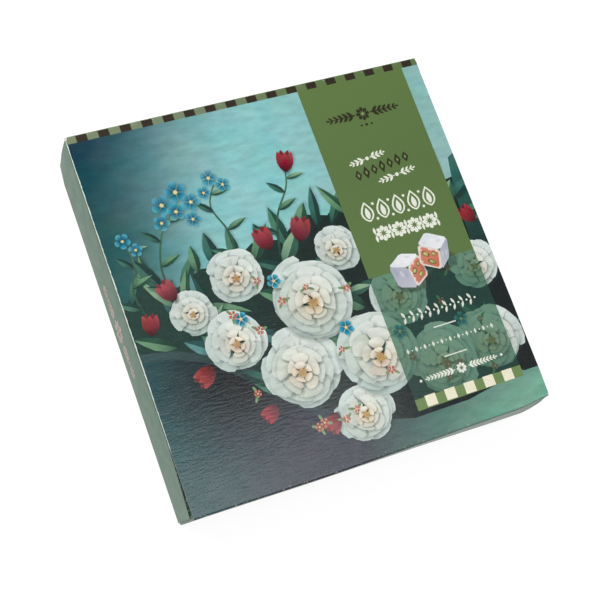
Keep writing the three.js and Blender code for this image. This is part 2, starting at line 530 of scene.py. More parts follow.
def cut_outer_face():
    """Cuts the blank along every field's outline. Each triangle comes with its fields."""
    corners, edges, faces = [], [], []
    for field in fields:
        first = len(corners)
        corners += split_sides(field["outline"])
        faces.append(list(range(first, len(corners))))
    for line in crease_lines():
        edges.append((len(corners), len(corners) + 1))
        corners += line
    corners += grid_dots()
    places, _, triangles, _, _, owners = delaunay_2d_cdt(
        [Vector(corner) for corner in corners], edges, faces, 0, MERGE, True)
    return places, [(tuple(t), sorted(o)) for t, o in zip(triangles, owners) if 0 in o]


def border_of(triangles):
    """The corners round the edge of a face, in order."""
    sides = {(t[i], t[(i + 1) % 3]) for t in triangles for i in range(3)}
    after = {b: a for a, b in sides if (b, a) not in sides}
    loop = [min(after)]
    while after[loop[-1]] != loop[0]:
        loop.append(after[loop[-1]])
    return loop


def cut_inner_face(border, first):
    """The face behind the outer one. It has the same border, creases and bows, but no ink,
    so few triangles. Its corners are numbered from first; below says which of them lies
    behind each corner of the border."""
    lines = crease_lines()
    corners = [Vector(corner) for corner in (*(end for line in lines for end in line),
                                             *grid_dots())]
    edges = [(len(border) + 2 * i, len(border) + 2 * i + 1) for i in range(len(lines))]
    places, _, triangles, origins, _, held = delaunay_2d_cdt(
        border + corners, edges, [list(range(len(border)))], 0, MERGE, True)
    kept = [t for t, owner in zip(triangles, held) if owner]
    used = sorted({corner for t in kept for corner in t})
    number = {corner: first + i for i, corner in enumerate(used)}
    below = {origin: number[i] for i, sources in enumerate(origins)
             for origin in sources if origin < len(border) and i in number}
    return ([places[corner] for corner in used],
            [tuple(number[corner] for corner in t) for t in kept], below)


print("the border of one triangle has", len(border_of([(0, 1, 2)])), "corners")

# %% Ink and fold the blank
BOARD_CORE, CORE_BARE = "#a3ab9a", 0.25  # the board's grey inside, and how bare it looks


def creasing(x, s):
    """1 where the board is creased, 0 where it is flat."""
    panel = panel_of(s)
    past = abs(x) - END_WALKS.get(panel, [WIDTH])[0]
    tucked = past - QUARTER - CLOSURE_FLAT
    on_end = 0 < past < QUARTER or (panel == "bottom" and 0 < tucked < QUARTER)
    return 1.0 if on_end or dict(WALK)[panel] is None else 0.0


def lay_inks(mesh, places, used, inside):
    """Gives a mesh its ink colours, and marks brushwork, bare board and creases on it."""
    shades, art, bare = [], [], []
    for triangle, owner in inside:
        inks = [fields[i] for i in owner]
        for corner in reversed(triangle):
            colour = (0.0, 0.0, 0.0)
            for field in inks:
                colour = field["paint"](*places[corner], colour)
            shades += [*colour, 1.0]
        art.append(inks[-1]["art"])
        bare.append(inks[-1]["bare"])
    shades += (*linear(BOARD_CORE), 1.0) * (len(mesh.loops) - 3 * len(inside))
    colours = mesh.color_attributes.new("ink", "FLOAT_COLOR", "CORNER")
    colours.data.foreach_set("color", shades)
    worn = [creasing(*places[corner]) for corner in used]
    for label, domain, values, rest, count in (
            ("art", "FACE", art, 0.0, len(mesh.polygons)),
            ("bare", "FACE", bare, CORE_BARE, len(mesh.polygons)),
            ("crease", "POINT", worn, 0.0, len(mesh.vertices))):
        attribute = mesh.attributes.new(label, "FLOAT", domain)
        attribute.data.foreach_set("value", values + [rest] * (count - len(values)))


def build_sheet(name, material):
    """Cuts the blank, folds it, and gives it its thickness and its inks."""
    places, inside = cut_outer_face()
    used = sorted({corner for triangle, _ in inside for corner in triangle})
    number = {corner: i for i, corner in enumerate(used)}
    points = [fold(*places[corner]) for corner in used]
    outer = [tuple(number[corner] for corner in reversed(triangle)) for triangle, _ in inside]
    loop = border_of(outer)
    behind, inner, below = cut_inner_face([places[used[i]] for i in loop], len(points))
    points += [fold(x, s, BOARD) for x, s in behind]
    rim = [(loop[i - 1], loop[i], below[i], below[(i - 1) % len(loop)])
           for i in range(len(loop))]
    mesh = bpy.data.meshes.new(name)
    mesh.from_pydata(points, [], outer + inner + rim)
    lay_inks(mesh, places, used, inside)
    mesh.materials.append(material)
    print(name, "has", len(fields), "fields and",
          len(outer) + len(inner) + 2 * len(rim), "triangles")
    return new_object(name, mesh)


# %% [markdown]
# ## The picture on the top
#
# A sweets carton often carries a painted picture. This one is a garden painting: pale
# peonies with crimson tulips and turquoise forget-me-nots, before a teal wall and over a dark
# table. A painter works from the back to the front and from large to small, and the fields
# are added in that order. Everything in it comes from one shape, a petal, which is blunt or
# pointed, wide or narrow.

# %% Petals
def petal(base, angle, length, width, belly=0.62, blunt=0.55, steps=6, ruffle=None):
    """The outline of a petal that starts at base and points along an angle in degrees."""
    power = math.log(0.5) / math.log(belly)
    turn = math.radians(angle)
    ahead, across = (math.cos(turn), math.sin(turn)), (-math.sin(turn), math.cos(turn))
    right, left = [], []
    for i in range(steps + 1):
        share = 0.5 - 0.5 * math.cos(math.pi * i / steps)  # closer together at both ends
        half = width / 2 * math.sin(math.pi * share ** power) ** (blunt if share > belly
                                                                 else 0.9)
        for edge, side in ((right, -1), (left, 1)):
            wave = 1.0
            if ruffle is not None:
                wave += 0.045 * share * math.sin(ruffle + 2.6 * side * (1 - share) * math.pi)
            edge.append((
                base[0] + wave * (length * share * ahead[0] + side * half * across[0]),
                base[1] + wave * (length * share * ahead[1] + side * half * across[1])))
    return right + left[-2:0:-1]


def ahead_of(base, angle, distance):
    """The place at a distance from base, along an angle in degrees."""
    turn = math.radians(angle)
    return base[0] + distance * math.cos(turn), base[1] + distance * math.sin(turn)


def top_petal(base, angle, length, width, colours, cover=1.0, **shape):
    """A petal on the top panel, shaded from its base to its tip."""
    tip = ahead_of(base, angle, length)
    top_field(petal(base, angle, length, width, **shape),
              shaded(on_top(*base), on_top(*tip), colours, cover), 1.0)


SHADOW = "#1d322f"
SOFTNESS = 3.2  # how steeply a shadow fades: 1 fades all the way from its middle


def shadow_petal(base, angle, length, width, cover=0.4, spread=1.3, **shape):
    """A petal's soft shadow, thrown down and to the right: it fades to nothing at its rim."""
    start = ahead_of((base[0] + 0.35, base[1] + 0.6), angle, (1 - spread) / 2 * length)
    middle = on_top(*ahead_of(start, angle, spread / 2 * length))
    ahead = math.cos(math.radians(angle)), math.sin(math.radians(angle))
    dark = linear(SHADOW)

    def paint(x, s, below):
        dx, ds = x - middle[0], s - middle[1]
        along = (dx * ahead[0] + ds * ahead[1]) / (0.5 * spread * length)
        across = (ds * ahead[0] - dx * ahead[1]) / (0.5 * spread * width)
        return blend(below, dark, cover * clamp(SOFTNESS * (0.97 - math.hypot(along, across))))
    top_field(petal(start, angle, length * spread, width * spread, **shape), paint, 1.0)


print("a petal has", len(petal((0, 0), 0, 10, 5)), "corners")

# %% [markdown]
# A leaf is one petal outline split along its rib, with a light and a dark half, because that
# is how a painter shows that it is folded. A stem follows a smooth curve through a few
# places (a Catmull-Rom spline) and grows thinner towards its tip.

# %% Leaves and stems
def leaf(base, angle, length, width, dark, light):
    """A leaf in two halves, with its rib where they meet."""
    tip = ahead_of(base, angle, length)
    shape = {"belly": 0.42, "blunt": 0.95}
    outline = petal(base, angle, length, width, **shape)
    half = len(outline) // 2
    middle = ahead_of(base, angle, length * 0.5)
    ends = on_top(*base), on_top(*tip)
    shadow_petal(base, angle, length, width, 0.3, **shape)
    top_field(outline[:half + 1] + [middle], shaded(*ends, [dark, light, light]), 1.0)
    top_field([outline[0], middle] + outline[half:], shaded(*ends, [SHADOW, dark, dark]),
              1.0)
    if length > 8:
        top_petal(base, angle, length * 0.94, 0.5, [light, light], 0.8, blunt=1.0)


def stem(points, width, colours):
    """A stem along a smooth path through a few places on the top panel."""
    path = []
    for i in range(len(points) - 1):
        before, start = points[max(i - 1, 0)], points[i]
        end, after = points[i + 1], points[min(i + 2, len(points) - 1)]
        for k in range(5):
            t = k / 5
            path.append(tuple(
                0.5 * (2 * p1 + (p2 - p0) * t + (2 * p0 - 5 * p1 + 4 * p2 - p3) * t * t
                       + (3 * p1 - p0 - 3 * p2 + p3) * t ** 3)
                for p0, p1, p2, p3 in zip(before, start, end, after)))
    path.append(points[-1])
    left, right = [], []
    for i, (a, b) in enumerate(path):
        (a0, b0), (a1, b1) = path[max(i - 1, 0)], path[min(i + 1, len(path) - 1)]
        length = math.hypot(a1 - a0, b1 - b0)
        across = ((b0 - b1) / length, (a1 - a0) / length)
        half = width / 2 * (1 - 0.45 * i / len(path))
        left.append((a + half * across[0], b + half * across[1]))
        right.append((a - half * across[0], b - half * across[1]))
    top_field(left + right[::-1], shaded(on_top(*path[0]), on_top(*path[-1]), colours), 1.0)
    return path


print("a leaf has", len(petal((0, 0), 0, 10, 5, belly=0.42, blunt=0.95)), "corners")

# %% [markdown]
# A peony is built as it grows, in rings: wide cool petals outside, small warm ones inside,
# each with its own soft shadow. The random draws are seeded, so each peony keeps its shape.

# %% Peonies
LIGHT_ANGLE = -60  # where the light in the picture comes from, in degrees on the panel
OUTER_PETAL = ("#7c958b", "#b3c5be", "#dde6e1")  # base, middle and tip
INNER_PETAL = ("#ad8f78", "#dccbb2", "#f1ecdc")


def mixed(first, second, share):
    """The hex code of a mix of two hex codes."""
    return "#" + "".join(f"{round(255 * c):02x}" for c in blend(rgb(first), rgb(second),
                                                                share))


def ring_points(centre, radius, count, squash=1.0):
    """Corners evenly round a circle, or an ellipse when squashed."""
    return [(centre[0] + radius * math.cos(math.tau * i / count),
             centre[1] + squash * radius * math.sin(math.tau * i / count))
            for i in range(count)]


def blossom(centre, radius, rings, seed, squash):
    """A peony: rings of ruffled petals, smaller, closer and warmer towards its heart."""
    draw = random.Random(seed)
    for ring in range(rings):
        share = ring / (rings - 1)
        reach = radius * (1 - 0.74 * share)
        count = 8 - ring if ring < rings - 1 else 5
        start = draw.uniform(0, 360)
        heart = (centre[0], centre[1] + squash * share)
        for i in range(count):
            angle = start + 360 * (i + draw.uniform(-0.2, 0.2)) / count
            away = 0.5 - 0.5 * math.cos(math.radians(angle - LIGHT_ANGLE))
            length = reach * draw.uniform(0.84, 1.08) * 0.78
            base = ahead_of(heart, angle, reach * 0.2)
            width = reach * draw.uniform(0.82, 1.08)
            shape = {"belly": draw.uniform(0.62, 0.74), "blunt": 0.5, "steps": 8,
                     "ruffle": draw.uniform(0, math.tau)}
            shadow_petal(base, angle, length, width, 0.5, **shape)
            low, middle, tip = (mixed(outer, inner, share ** 1.5)
                                for outer, inner in zip(OUTER_PETAL, INNER_PETAL))
            tip = mixed(tip, middle, 0.75 * away + draw.uniform(0, 0.2))
            middle = mixed(middle, low, 0.6 * away)
            top_petal(base, angle, length, width, [low, middle, tip, tip], **shape)
            if ring < 2:
                for lean, far, thin in ((10, 0.6, 0.12), (-13, 0.5, 0.09)):
                    top_petal(ahead_of(base, angle, length * 0.25), angle + lean,
                              length * far, width * thin, [low, middle], 0.45, blunt=0.9,
                              steps=3)
    top_field(ring_points(heart, 0.1 * radius, 9), plain("#b98f5f"), 1.0)
    for i in range(14):
        angle = draw.uniform(0, 360)
        base = ahead_of(heart, angle, draw.uniform(0.02, 0.1) * radius)
        top_petal(base, angle, radius * 0.06, radius * 0.04,
                  draw.choice([["#a8843c", "#e2c274"], ["#8a8a44", "#c9c478"]]), steps=2)


print("half way to its heart a peony's petals are", mixed(OUTER_PETAL[1], INNER_PETAL[1], 0.5))

# %% [markdown]
# A forget-me-not is five petals round a dot, and in coral it is the small print on the
# peonies. A tulip is seen from its side, so its petals overlap to a cup.

# %% Small flowers and tulips
def small_flower(centre, radius, colours, heart, seed, steps=5):
    """A five-petalled flower with a dot for its heart."""
    start = random.Random(seed).uniform(0, 360)
    for i in range(5):
        angle = start + 72 * i
        base = ahead_of(centre, angle, radius * 0.08)
        shape = {"belly": 0.65, "blunt": 0.5, "steps": steps}
        if radius > 3:
            shadow_petal(base, angle, radius * 0.95, radius * 0.8, 0.35, **shape)
        top_petal(base, angle, radius * 0.92, radius * 0.8, colours, **shape)
    top_field(ring_points(centre, radius * 0.2, 6), plain(heart), 1.0)


TULIP = ("#3c0f16", "#842232", "#ad4447")  # base, middle and tip


def tulip(base, angle, length):
    """A tulip seen from its side: two petals behind, two at the sides, one in front."""
    for lean, size, tones in ((-9, 0.97, TULIP[:2]), (9, 0.97, TULIP[:2]), (-19, 0.93, TULIP),
                              (19, 0.93, TULIP), (0, 0.86, TULIP)):
        shape = {"belly": 0.45, "blunt": 0.8}
        shadow_petal(base, angle + lean, length * size, length * 0.42, 0.3, **shape)
        top_petal(base, angle + lean, length * size, length * 0.4, tones, **shape)


print("a tulip's middle tone is", TULIP[1])

# %% [markdown]
# The back of the picture comes first: the wall, which is lit from the right, the dark table
# with the light on its front edge, and the mass of shade that the leaves come out of.

# %% Wall, table and shade
def wall(x, s, below):
    a, b = x + WIDTH / 2, s - starts["top"] + FOLD
    light = clamp((a + 0.5 * b - 6) / 102)
    light = light * light * (3 - 2 * light)
    colour = blend(linear("#04384c"), linear("#8ecaca"), light)
    colour = blend(colour, linear("#06504f"), nearness(a, 60) * min(b / 60, 1) * 0.8)
    return blend(colour, linear("#8fbcb8"), (a - 90) / 90)


def table(x, s, below):
    a, b = x + WIDTH / 2, s - starts["top"] + FOLD
    colour = blend(linear("#285054"), linear("#242a3b"), a / 55 - 0.1)
    colour = blend(colour, linear("#0e1418"), nearness(math.hypot(a - 42, b - 142), 52))
    return blend(colour, linear("#7cb09b"), (a - 92) / 90 * nearness(200 - b, 44))


LOWEST = 200.9  # the picture runs over the front fold to here
top_field(box_points(0, BAND, 200, LOWEST), wall, 1.0)
shade_edge = [(0, 92), (14, 86), (30, 90), (44, 84), (60, 86), (74, 78), (90, 80), (104, 70),
              (118, 74), (132, 64), (150, 70), (170, 64), (186, 72), (200, 70)]
top_field(shade_edge + [(200, 188), (150, 192), (100, 186), (60, 160), (30, 134), (0, 120)],
          shaded(on_top(20, 80), on_top(150, 150), ["#24423a", "#182b27", "#141f22"]), 1.0)
near_edge = [(0, 117), (18, 120), (34, 127), (50, 139), (64, 153), (80, 168), (98, 180)]
top_field([(0, LOWEST)] + near_edge + [(124, 187), (156, 187), (200, 180), (200, LOWEST)],
          table, 1.0)
top_field(near_edge + [(98, 184), (78, 173), (62, 158), (48, 144), (33, 131), (17, 124),
                       (0, 121)],
          shaded(on_top(0, 110), on_top(98, 184), ["#3f5b58", "#2c3d42"], 0.6), 1.0)
top_field([(196, 60), (200, 58), (200, 182), (191, 182), (190, 120), (192, 80)],
          shaded(on_top(190, 60), on_top(190, 180), ["#2c6a60", "#141c1f", "#1c2223"]), 1.0)
print("picture ground has", len(fields), "fields")

# %% [markdown]
# Leaves are scattered in the shade with a seeded random draw, so that they come out the same
# each time. Then the flowers are set one by one, each with its place, size and kind.

# %% Leaves
LEAF_TONES = [("#1f4a40", "#4b7f68"), ("#27533f", "#6a9672"), ("#1c3f3b", "#3c6f62"),
              ("#33604f", "#86aa88"), ("#24504e", "#5a8f8c")]
draw = random.Random(11)
for i in range(20):
    a = 6 + 9.6 * i + draw.uniform(-3, 3)
    b = 92 - 22 * a / 200 + draw.uniform(-2, 4)
    leaf((a, b), draw.uniform(-125, -55), draw.uniform(14, 24), draw.uniform(5, 8),
         *LEAF_TONES[i % 3])
for i in range(46):
    a = draw.uniform(4, 196)
    b = draw.uniform(100 - 20 * a / 200, 112 + 66 * min(a / 95, 1))
    leaf((a, b), draw.uniform(-160, 40), draw.uniform(14, 27), draw.uniform(5, 8.5),
         *draw.choice(LEAF_TONES))
for points in ([(30, 104), (25, 82), (31, 62), (42, 50)],
               [(60, 94), (65, 72), (60, 54), (67, 41)],
               [(86, 88), (92, 68), (102, 54), (105, 44)],
               [(12, 106), (8, 88), (13, 72), (11, 60)]):
    path = stem(points, 1.3, ["#1c4238", "#4f7a5c"])
    for k, (a, b) in enumerate(path[3:-1:3]):
        leaf((a, b), -90 + (62 if k % 2 else -62) + 8 * k, 13 - k, 4.2 - 0.3 * k,
             *LEAF_TONES[k % 5])
print("with its leaves the picture has", len(fields), "fields")

# %% Flowers in their places
for i, (a, b, radius) in enumerate([
        (116, 92, 13), (187, 120, 14), (33, 104, 12), (140, 124, 17), (100, 176, 16),
        (60, 92, 15), (180, 160, 19), (49, 124, 16), (76, 146, 21), (151, 163, 20),
        (94, 114, 23), (118, 150, 23)]):
    blossom((a, b), radius, 5 if radius > 15 else 4, 20 + i, 0.1 * radius)
for a, b, angle, length in (
        (99, 84, -70, 15), (82, 84, -100, 14), (27, 96, -115, 13), (10, 110, -80, 12),
        (34, 133, 150, 13), (86, 172, 130, 12), (105, 46, -75, 13), (197, 98, -120, 12),
        (58, 160, 150, 11)):
    tulip((a, b), angle, length)
for i, (a, b, radius) in enumerate([
        (36, 47, 5.6), (45, 42, 6), (42, 52, 5), (51, 49, 4.8), (33, 56, 4.4), (49, 58, 4.2),
        (64, 39, 4.6), (70, 44, 4), (59, 46, 3.6), (11, 60, 4.2), (16, 66, 3.6),
        (78, 100, 3.8), (106, 133, 4), (55, 114, 4), (133, 143, 4), (168, 146, 3.8)]):
    small_flower((a, b), radius, ["#0b4a60", "#167f9a", "#58b3c6"], "#e9d48a", seed=i)
draw = random.Random(5)
for i in range(24):
    a, b = draw.uniform(50, 186), draw.uniform(92, 180)
    angle = draw.uniform(0, 360)
    for lean, length in ((0, 4.8), (130, 4.2)):
        top_petal((a, b), angle + lean, length, 1.6, ["#3d6a4a", "#86a676"], steps=4)
    small_flower((a, b), draw.uniform(1.8, 2.5), ["#9c4a3a", "#d08468"], "#f0d9a8", seed=i,
                 steps=3)
print("picture has", len(fields), "fields")

# %% [markdown]
# The banner lies over the picture. Its upper part is solid green and its lower part is a
# glaze that lets the picture show through. The grounds of the two checked bands close the
# design, and a thin dark line along the front fold is painted shade in that fold.

# %% Banner and bands
top_field(box_points(0, -0.9, 200, BAND), shaded(on_top(0, 2), on_top(200, 2),
          ["#7d8c6a", "#77876a", "#627a47", "#5d7645"]))
# Painted shade: a thin dark line along the front fold, lighter at the left and darker towards
# the right.
top_field(box_points(0, 199.8, 200, LOWEST + 0.05), shaded(on_top(80, 200), on_top(125, 200),
          ["#6a655c", "#1f1b13"]))
top_field(box_points(BANNER_LEFT, BAND - 0.1, BANNER_RIGHT, BANNER_END),
          shaded(on_top(150, 4), on_top(160, 112), ["#5f7a40", "#5b7540", "#5d7741"]))
GLAZE_PASSES, GLAZE_HAZE = (0.19, 0.31, 0.23), (0.010, 0.042, 0.032)  # red, green, blue
top_field(box_points(BANNER_LEFT, BANNER_END, BANNER_RIGHT, OVERLAY_END),
          lambda x, s, below: tuple(c * share + haze for c, share, haze in zip(
              below, GLAZE_PASSES, GLAZE_HAZE)), 0.6)
top_field(box_points(BANNER_LEFT, OVERLAY_END, BANNER_RIGHT, 184.4), plain("#6f8a52"))
print("with its banner the picture has", len(fields), "fields")

# %% [markdown]
# ## Ornaments on the banner
#
# The banner carries lines of ornament in brown and in white: a leafy scroll with a rosette,
# a chain between two sprays, a frieze of buds over one of rosettes, and finer rows below.
# They are all symmetrical, and nearly all come from the same petal.

# %% Rosettes, sprays and diamonds
BROWN_INK, PALE_INK, HEART_INK = "#2b2614", "#e9ecdd", "#627a47"
BANNER_MIDDLE = (BANNER_LEFT + BANNER_RIGHT) / 2 - 0.4
LEAF_LEAN = 38  # degrees between a spray's stem and its leaves


def spot(centre, radius, code, count=8):
    top_field(ring_points(centre, radius, count), plain(code))


def flat_petal(base, angle, length, width, code, cover=1.0, belly=0.5, blunt=0.8, steps=4):
    """A petal of one plain ink."""
    top_field(petal(base, angle, length, width, belly, blunt, steps), plain(code, cover))


def diamond(centre, wide, high, code, cover=1.0):
    a, b = centre
    top_field([(a - wide, b), (a, b - high), (a + wide, b), (a, b + high)],
              plain(code, cover))


def rosette(centre, radius, code, heart, width=0.55):
    """Eight petals round a heart."""
    for i in range(8):
        angle = 45 * i - 90
        flat_petal(ahead_of(centre, angle, radius * 0.2), angle, radius * 0.8,
                   radius * width, code, belly=0.62, blunt=0.7)
    spot(centre, radius * 0.17, heart)


def spray(centre, half, sign, size, code, tilt=0.0, stem_width=0.5):
    """A thin stem that runs sideways from a centre, with pairs of leaves along it."""
    turn = math.radians(tilt)

    def at(u, v):
        return (centre[0] + sign * (u * math.cos(turn) - sign * v * math.sin(turn)),
                centre[1] + sign * u * math.sin(turn) + v * math.cos(turn))

    start, end = half
    w = stem_width / 2
    top_field([at(start, -w), at(end, -w * 0.4), at(end, w * 0.4), at(start, w)], plain(code))
    count = max(int((end - start) / (0.62 * size)), 1)
    stem_angle = tilt if sign > 0 else 180 + tilt
    for i in range(count):
        u = start + (end - start) * (i + 0.4) / count
        small = size * (1 - 0.4 * i / count)
        for side in (-1, 1):
            flat_petal(at(u, 0), stem_angle + side * LEAF_LEAN, small, small * 0.42, code)
    flat_petal(at(end - 0.3, 0), stem_angle, size * 0.6, size * 0.3, code, belly=0.62)


def two_sprays(centre, half, size, code, **also):
    for sign in (-1, 1):
        spray(centre, half, sign, size, code, **also)


print("a spray's leaves lean by", LEAF_LEAN, "degrees")

# %% Scroll and chain
SCROLL_AT, CHAIN_AT, SLOPE = 24.6, 55.6, -8.0  # mm from the back fold; degrees
rosette((BANNER_MIDDLE, SCROLL_AT), 4.0, BROWN_INK, "#8f9d78")
two_sprays((BANNER_MIDDLE, SCROLL_AT), (4.6, 19.5), 4.4, BROWN_INK, stem_width=0.9)
for u in (-3, 0, 3):
    spot((BANNER_MIDDLE + u, 31), 0.7 if u else 0.9, BROWN_INK, 6)

for a, b, reach in ((151, 49.5, 9.5), (164, 62, 10)):
    spot((a, b), 1.1, PALE_INK)
    two_sprays((a, b), (1.6, reach), 3.4, PALE_INK, tilt=SLOPE)
for k in range(-3, 4):
    centre = (BANNER_MIDDLE - 0.6 + 4.9 * k, CHAIN_AT + 4.9 * k * math.tan(math.radians(SLOPE)))
    diamond(centre, 2.0, 3.1 if k % 2 else 3.7, BROWN_INK)
    diamond(centre, 0.8, 1.4, "#71884f")
print("with the chain the design has", len(fields), "fields")

# %% Friezes and fine rows
BUD_AT, ROSETTE_AT, DROP_AT, DOT_AT, SCROLL_END = 83.6, 91.2, 137.4, 154.3, 170.4
BUD_PITCH, DROP_PITCH, DOT_PITCH = 9.2, 4.9, 2.5
BUD_TONES = ((11.4, 7.4, 0, PALE_INK), (9.2, 5.4, 0.9, "#607a44"), (6.6, 2.9, 1.6, PALE_INK))
for k in range(5):
    a = BANNER_MIDDLE + BUD_PITCH * (k - 2)
    for length, width, lift, code in BUD_TONES:
        flat_petal((a, BUD_AT - lift), -90, length, width, code, belly=0.42, blunt=1.0,
                   steps=8)
    if k < 4:
        spot((a + 4.6, BUD_AT - 9.4), 0.8, PALE_INK)
        spot((a + 4.6, BUD_AT - 0.9), 0.8, PALE_INK)
for k in range(4):
    rosette((BANNER_MIDDLE + BUD_PITCH * (k - 1.5), ROSETTE_AT), 4.4, PALE_INK, HEART_INK, 0.6)
for k in range(5):
    for angle in (-90, 90):
        flat_petal((BANNER_MIDDLE + BUD_PITCH * (k - 2), ROSETTE_AT), angle, 4.2, 1.7,
                   PALE_INK, belly=0.55)

for k in range(-4, 5):
    base = (BANNER_MIDDLE + DROP_PITCH * k, DROP_AT)
    for side in (-1, 1):
        flat_petal(base, side * 114, 3.6, 1.5, PALE_INK, 0.9)
    spot((base[0] + 2.2, DROP_AT), 0.6, PALE_INK, 6)
for b in (146.3, 162.3):
    top_field(box_points(BANNER_MIDDLE - 6.6, b - 0.32, BANNER_MIDDLE + 6.6, b + 0.32),
              plain(PALE_INK, 0.92))
for k in range(-10, 11):
    centre = (BANNER_MIDDLE + DOT_PITCH * k, DOT_AT)
    if k % 2:
        spot(centre, 0.42, PALE_INK, 6)
    else:
        diamond(centre, 0.8, 1.5, PALE_INK, 0.92)
rosette((BANNER_MIDDLE, SCROLL_END), 2.9, PALE_INK, HEART_INK, 0.6)
two_sprays((BANNER_MIDDLE, SCROLL_END), (4.0, 20), 3.0, PALE_INK, stem_width=0.45)
for sign in (-1, 1):
    spot((BANNER_MIDDLE + sign * 24, SCROLL_END), 0.8, PALE_INK, 6)
print("with its ornaments the design has", len(fields), "fields")


# %% [markdown]
# Two cubes of the sweet are drawn on the banner. Each is a real cube, turned and projected,
# so its three near faces fit together. Two are dusted with sugar and one is cut, which shows
# coral jelly with pieces of pistachio.

# %% Two cubes of lokum
ROUND = 0.78  # where the rounding of a cube's corner starts, from its middle to its edge
JELLY = 0.84  # how far the jelly reaches on the cut face
NUTS = ((-0.36, -0.22, 0.34, 0.27), (0.4, -0.42, 0.24, 0.2), (0.16, 0.42, 0.38, 0.22))
NUT_FLESH = [("#a3ad5c", "#d6d08a"), ("#b9b158", "#e0d795"), ("#8f9f4f", "#c3c67d")]


def lokum(centre, size, yaw, pitch, roll, seed):
    """Draws a cube of the sweet, with the cut face as the cube's own front."""
    draw = random.Random(seed)
    turned = (Matrix.Rotation(math.radians(roll), 3, "Z")
              @ Matrix.Rotation(math.radians(pitch), 3, "X")
              @ Matrix.Rotation(math.radians(yaw), 3, "Y"))
    for reach, cover in ((0.86, 0.25), (0.76, 0.35)):
        top_field(ring_points((centre[0] + 1, centre[1] + size * 0.5), size * reach, 16,
                              0.5), plain("#16221a", cover))
    corners = []
    for p, q in ((-1, -1), (1, -1), (1, 1), (-1, 1)):
        cut = [(p * ROUND, q), (p, q * ROUND)]
        corners += cut if p * q < 0 else cut[::-1]
    for axis in range(3):
        normal = turned.col[axis]
        sign = 1 if normal.z > 0 else -1
        u, v = turned.col[(axis + 1) % 3], turned.col[(axis + 2) % 3]
        middle = 0.5 * sign * normal

        def at(p, q):
            corner = size * (middle + 0.5 * p * u + 0.5 * q * v)
            return centre[0] + corner.x, centre[1] + corner.y

        def patch(p, q, wide, high, count=9):
            """The outline of an uneven round patch."""
            return [at(p + wide * math.cos(turn) * draw.uniform(0.84, 1.16),
                       q + high * math.sin(turn) * draw.uniform(0.84, 1.16))
                    for turn in (math.tau * i / count for i in range(count))]

        outline = [at(p, q) for p, q in corners]
        ends = on_top(*at(-1, -1)), on_top(*at(1, 1))
        if axis < 2:  # a face dusted with sugar
            light = 0.5 - 0.5 * sign * normal.y
            top_field(outline, shaded(*ends, [mixed("#8f93a6", "#e6e9ee", light),
                                              mixed("#aab0c0", "#f7f8f7", light)]))
            for _ in range(5):
                top_field(patch(draw.uniform(-0.6, 0.6), draw.uniform(-0.6, 0.6), 0.3, 0.2),
                          plain(draw.choice(["#ffffff", "#8f96ab"]), 0.22))
            continue
        top_field(outline, plain("#e3d3ca"))
        top_field([at(JELLY * p * draw.uniform(0.93, 1.04), JELLY * q * draw.uniform(0.93, 1.04))
                   for p, q in corners], shaded(*ends, ["#d58a6c", "#c2694e"]))
        for p, q, wide, high in NUTS:
            flesh, kernel = draw.choice(NUT_FLESH)
            top_field(patch(p, q, wide, high), plain("#5e3a25"))
            top_field(patch(p, q, wide * 0.8, high * 0.76), plain(flesh))
            top_field(patch(p - 0.05, q - 0.03, wide * 0.42, high * 0.36, 7), plain(kernel))
        for _ in range(5):
            edge = draw.choice([(-0.8, draw.uniform(-0.8, 0.8)), (draw.uniform(-0.8, 0.8),
                                                                  -0.8)])
            top_field(patch(*edge, 0.16, 0.12, 7), plain("#f2ece8", 0.55))


lokum((150, 114), 13.2, 46, -26, -8, 3)
lokum((167.5, 107.5), 13.2, -22, -34, 14, 4)
print("design has", len(fields), "fields")

# %% [markdown]
# ## Edges and flaps
#
# The print doesn't cover everything. The dust flaps and the tips of the tuck flaps stay
# unprinted, so the board's pale coating shows in the slits at the corners. The cut lip of
# the top panel and a few corners have rubbed, and there the ink is gone in thin, uneven
# lines and spots; along the lip the pale line also carries a painted highlight, which
# narrows near the front. Along its upper fold each closure has a dark line of painted
# shade, for the gap under the top panel, darkest near the front.

# %% Unprinted flaps, rubbed edges, a painted highlight and painted shade
COATING, COATING_BARE, PRINT_OVERLAP = "#dcdcd0", 0.6, 2.2
BEYOND = 160  # past every flap


def ink_box(x0, s0, x1, s1, *more, **also):
    ink(box_points(x0, s0, x1, s1), *more, **also)


ink_box(-LIP, -1, LIP, starts["glue_fold"] + 0.6, plain(COATING), bare=COATING_BARE)
for side in (-1, 1):
    edge = side * (DUST_ROOT + PRINT_OVERLAP)
    for panel, after in SIDE_PANELS:
        ink_box(edge, starts[panel] + 0.1, side * 120, starts[after] - 0.1, plain(COATING),
                bare=COATING_BARE)
    ink_box(side * (TUCK_ROOT + 3), starts["bottom"], side * BEYOND, BLANK_END,
            plain(COATING), bare=COATING_BARE)

# The pale mint line on the lip is rubbed board with a painted highlight on it; it narrows near
# the front and stops short of the front fold.
draw = random.Random(8)
LIP_HIGHLIGHT_END = 166.0
inner_edge, b = [], 0.2
while b < LIP_HIGHLIGHT_END:
    wide = draw.uniform(0.25, 0.55) * min(1, 3 * (1 - b / LIP_HIGHLIGHT_END) + 0.35)
    inner_edge.append((WIDTH / 2 - LIP + wide, b))
    b += draw.uniform(0.7, 2.2)
top_field([(WIDTH / 2 - LIP, -0.4)] + inner_edge + [(WIDTH / 2 - LIP, LIP_HIGHLIGHT_END + 1)],
          plain("#e4f6ec"), bare=0.3)
top_field([(0.2, -1), (3.1, -1), (1.5, 0.3), (1.0, 1.9), (0.2, 2.6)], plain("#e9eae2"),
          bare=0.8)
for a, b, size in ((200, 200, 1.6), (200, 0, 1.0), (199.8, 31, 0.3), (199.8, 77, 0.4),
                   (199.8, 128, 0.3)):
    top_field([(a - 0.5 * size, b - 0.8 * size), (a + size, b - size), (a + size, b + size),
               (a - 0.4 * size, b + 0.6 * size)], plain("#d9dacf"), bare=0.8)
